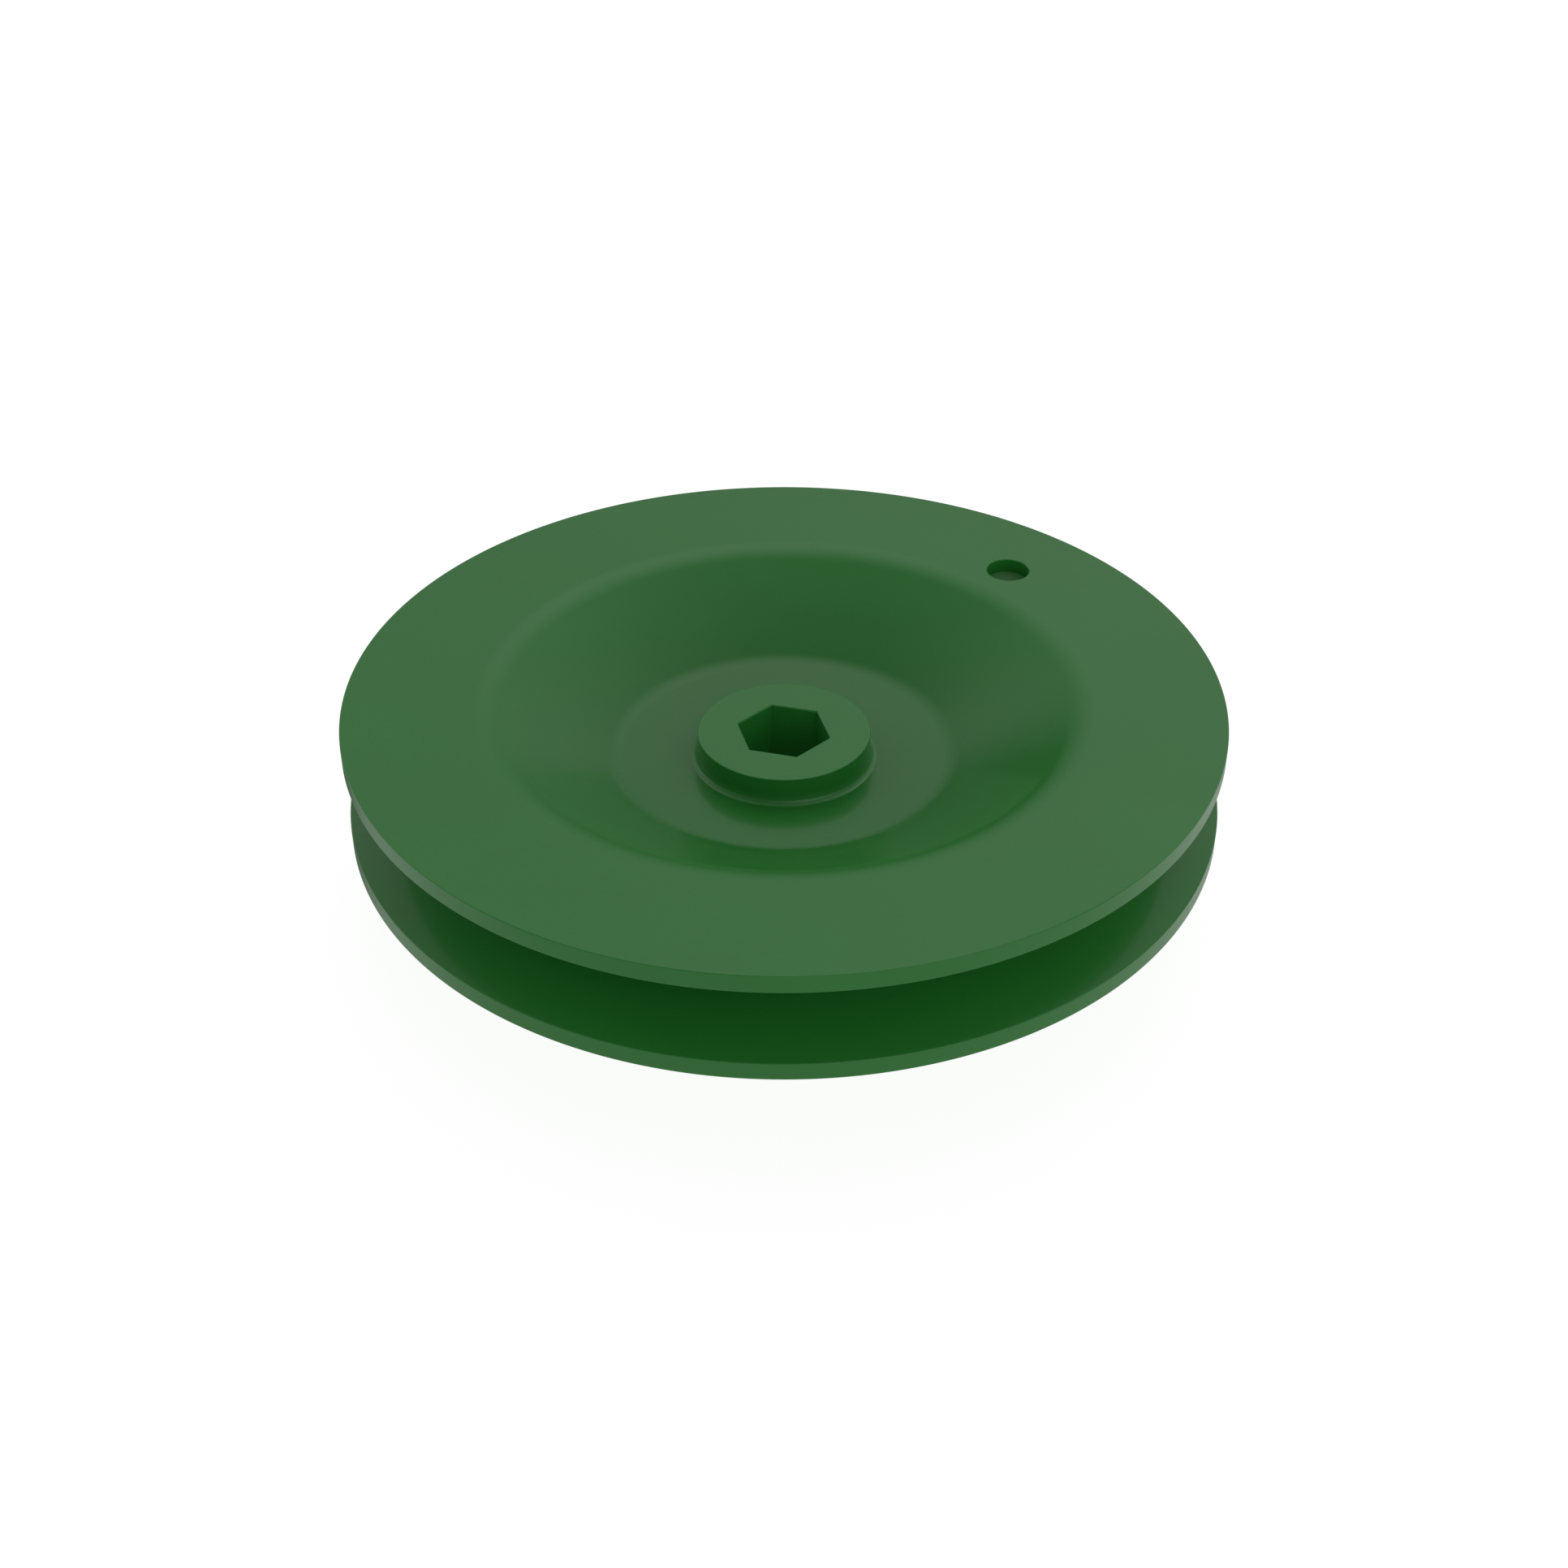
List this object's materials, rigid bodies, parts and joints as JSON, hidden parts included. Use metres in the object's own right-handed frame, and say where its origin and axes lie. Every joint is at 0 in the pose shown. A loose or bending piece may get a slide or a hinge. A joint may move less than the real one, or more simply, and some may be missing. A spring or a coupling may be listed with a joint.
{
  "type": "v belt pulley",
  "caption": "Green painted steel V belt pulley: a dished sheave with one belt groove, welded to an offset hub that has a hexagonal through bore.",
  "frame": {"origin": "on the shaft axis, at the lower end face of the hub", "axes": "+Z along the shaft axis towards the dished face, +Y towards the balance hole, +X completes the right-handed set and is normal to two flats of the hexagonal bore"},
  "size_m": [0.2, 0.2, 0.0516],
  "materials": {
    "upper_half_paint": "semi-gloss green enamel",
    "lower_half_paint": "semi-gloss green enamel",
    "hub_paint": "semi-gloss green enamel over turned steel",
    "upper_hub_weld_paint": "semi-gloss green enamel over weld metal",
    "lower_hub_weld_paint": "semi-gloss green enamel over weld metal",
    "nugget_steel": "bare fused steel, hidden inside"
  },
  "bodies": {
    "root": {"upper_sheave_half": "upper_half_paint", "lower_sheave_half": "lower_half_paint", "hub": "hub_paint", "upper_hub_weld": "upper_hub_weld_paint", "lower_hub_weld": "lower_hub_weld_paint", "weld_nugget_01": "nugget_steel", "weld_nugget_02": "nugget_steel", "weld_nugget_03": "nugget_steel", "weld_nugget_04": "nugget_steel", "weld_nugget_05": "nugget_steel", "weld_nugget_06": "nugget_steel", "weld_nugget_07": "nugget_steel", "weld_nugget_08": "nugget_steel", "weld_nugget_09": "nugget_steel", "weld_nugget_10": "nugget_steel", "weld_nugget_11": "nugget_steel", "weld_nugget_12": "nugget_steel"}
  },
  "joints": []
}
